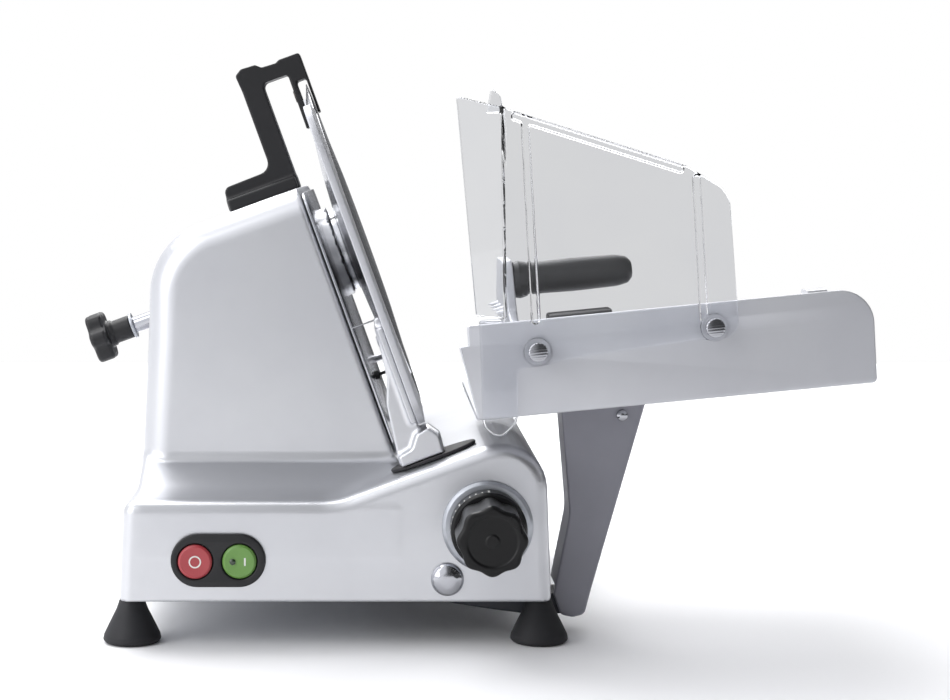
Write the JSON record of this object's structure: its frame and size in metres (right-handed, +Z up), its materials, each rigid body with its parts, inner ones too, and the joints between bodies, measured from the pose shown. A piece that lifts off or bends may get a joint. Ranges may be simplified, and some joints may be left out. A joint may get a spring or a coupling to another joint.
{
  "type": "deli meat slicer",
  "caption": "Gravity-feed meat slicer: tilted round blade on a cast motor tower, sliding tray with clear hand shield and pusher, gauge plate set by a front dial.",
  "frame": {"origin": "middle of the underside of the whole slicer's box, on the counter surface the feet stand on", "axes": "+Z up; +Y away from the operator, along the carriage's stroke; +X from the motor tower to the tray"},
  "size_m": [0.5276, 0.4086, 0.395],
  "materials": {
    "cast_aluminium": "satin, polished and clear anodised casting",
    "anodised_aluminium": "satin anodised",
    "stainless_steel": "ground and polished",
    "chrome": "polished",
    "zinc_plate": "satin",
    "grey_paint": "satin grey",
    "motor_paint": "semi-matt",
    "black_plastic": "fine grain",
    "gloss_black": "semi-gloss",
    "rubber": "matt",
    "red_plastic": "semi-gloss",
    "green_plastic": "semi-gloss",
    "lamp_lens": "clear gloss",
    "clear_plastic": "clear moulded",
    "circuit_board": "solder mask",
    "abrasive": "coarse"
  },
  "bodies": {
    "base": {"base_housing": "cast_aluminium", "bottom_plate": "zinc_plate", "foot_front_left": "rubber", "foot_front_right": "rubber", "foot_rear_left": "rubber", "foot_rear_right": "rubber", "cable_gland": "black_plastic", "switch_plate": "black_plastic", "control_board": "circuit_board", "dial_collar": "zinc_plate", "carriage_guide_rod": "chrome", "guide_rod_cap": "chrome", "support_bar": "stainless_steel", "hub_bearing_front": "stainless_steel", "hub_bearing_rear": "stainless_steel", "drive_belt": "rubber", "motor_body": "motor_paint", "blade_cover": "stainless_steel", "blade_guard_ring": "cast_aluminium", "slice_deflector": "stainless_steel", "deflector_pin": "black_plastic", "sharpener_body": "black_plastic", "gauge_guide_rod": "chrome", "gauge_seal": "rubber"},
    "blade_assembly": {"blade": "stainless_steel", "hub_shaft": "stainless_steel", "driven_pulley": "cast_aluminium"},
    "motor_rotor": {"motor_shaft": "stainless_steel", "motor_pulley": "cast_aluminium"},
    "thickness_control": {"thickness_dial": "gloss_black", "thickness_knob": "gloss_black", "thickness_cam": "stainless_steel"},
    "gauge": {"gauge_plate": "anodised_aluminium", "gauge_support": "cast_aluminium", "gauge_slider": "cast_aluminium"},
    "tie_rod_collar": {"knob_washer": "zinc_plate"},
    "tie_rod_screw": {"tie_rod": "chrome", "tie_rod_knob": "gloss_black"},
    "stop_push": {"stop_button": "red_plastic"},
    "start_push": {"start_button": "green_plastic", "pilot_lens": "lamp_lens"},
    "rear_stone_push": {"rear_stone_button": "red_plastic"},
    "front_stone_push": {"front_stone_button": "green_plastic"},
    "rear_hone": {"rear_stone": "abrasive"},
    "front_hone": {"front_stone": "abrasive"},
    "carriage": {"carriage_leg": "grey_paint", "carriage_arm": "cast_aluminium", "leg_screw": "chrome", "meat_tray": "anodised_aluminium", "hand_shield": "clear_plastic", "shield_screw_left": "chrome", "shield_screw_right": "chrome", "pusher_rod": "chrome", "rod_bracket_left": "cast_aluminium", "rod_bracket_right": "cast_aluminium"},
    "guide_roller": {"carriage_roller": "black_plastic"},
    "pusher_slide_block": {"pusher_slider": "gloss_black"},
    "pusher": {"pusher_plate": "anodised_aluminium", "pusher_grip": "gloss_black"}
  },
  "joints": [
    {"name": "carriage_slide", "type": "slide", "parent": "base", "child": "carriage", "axis": [0, 1, 0], "range_m": [0, 0.215]},
    {"name": "guide_roller_spin", "type": "hinge", "parent": "carriage", "child": "guide_roller", "pos_m": [-0.02989, -0.08465, 0.0435], "axis": [1, 0, 0], "range_deg": [-20, 1560]},
    {"name": "pusher_slide", "type": "slide", "parent": "carriage", "child": "pusher_slide_block", "axis": [0.9954, 0, 0.0958], "range_m": [0, 0.12]},
    {"name": "pusher_swing", "type": "hinge", "parent": "pusher_slide_block", "child": "pusher", "pos_m": [0.05151, -0.17265, 0.20292], "axis": [0.9954, 0, 0.0958], "range_deg": [0, 42]},
    {"name": "blade_spin", "type": "hinge", "parent": "base", "child": "blade_assembly", "pos_m": [-0.05589, 0.06935, 0.255], "axis": [0.9397, 0, 0.342], "continuous": true},
    {"name": "motor_spin", "type": "hinge", "parent": "base", "child": "motor_rotor", "pos_m": [-0.11235, -0.02565, 0.20253], "axis": [0.9397, 0, 0.342], "continuous": true},
    {"name": "thickness_turn", "type": "hinge", "parent": "base", "child": "thickness_control", "pos_m": [0.02451, -0.16565, 0.0795], "axis": [0, 1, 0], "range_deg": [0, 300]},
    {"name": "gauge_slide", "type": "slide", "parent": "base", "child": "gauge", "axis": [-0.9397, 0, -0.342], "range_m": [0, 0.015]},
    {"name": "tie_rod_slide", "type": "slide", "parent": "base", "child": "tie_rod_collar", "axis": [-0.9397, 0, -0.342], "range_m": [0, 0.009]},
    {"name": "tie_rod_turn", "type": "hinge", "parent": "tie_rod_collar", "child": "tie_rod_screw", "pos_m": [-0.23443, 0.06935, 0.19002], "axis": [-0.9397, 0, -0.342], "range_deg": [0, 2160]},
    {"name": "stop_press", "type": "slide", "parent": "base", "child": "stop_push", "axis": [0, 1, 0], "range_m": [0, 0.0025], "stiffness_N_per_m": 600, "springref_m": -0.002},
    {"name": "start_press", "type": "slide", "parent": "base", "child": "start_push", "axis": [0, 1, 0], "range_m": [0, 0.0025], "stiffness_N_per_m": 600, "springref_m": -0.002},
    {"name": "rear_stone_press", "type": "slide", "parent": "base", "child": "rear_stone_push", "axis": [0, -1, 0], "range_m": [0, 0.0024], "stiffness_N_per_m": 500, "springref_m": -0.002},
    {"name": "front_stone_press", "type": "slide", "parent": "base", "child": "front_stone_push", "axis": [0, -1, 0], "range_m": [0, 0.0024], "stiffness_N_per_m": 500, "springref_m": -0.002},
    {"name": "rear_stone_slide", "type": "slide", "parent": "base", "child": "rear_hone", "axis": [0.9397, 0, 0.342], "range_m": [0, 0.0018]},
    {"name": "front_stone_slide", "type": "slide", "parent": "base", "child": "front_hone", "axis": [-0.9397, 0, -0.342], "range_m": [0, 0.001]}
  ],
  "couplings": [
    {"joint": "guide_roller_spin", "follows": "carriage_slide", "rad_per_m": 125},
    {"joint": "motor_spin", "follows": "blade_spin", "ratio": 4},
    {"joint": "gauge_slide", "follows": "thickness_turn", "m_per_rad": 0.0028648},
    {"joint": "tie_rod_turn", "follows": "tie_rod_slide", "rad_per_m": 4188.8},
    {"joint": "rear_stone_slide", "follows": "rear_stone_press", "ratio": 0.75},
    {"joint": "front_stone_slide", "follows": "front_stone_press", "ratio": 0.41667}
  ]
}
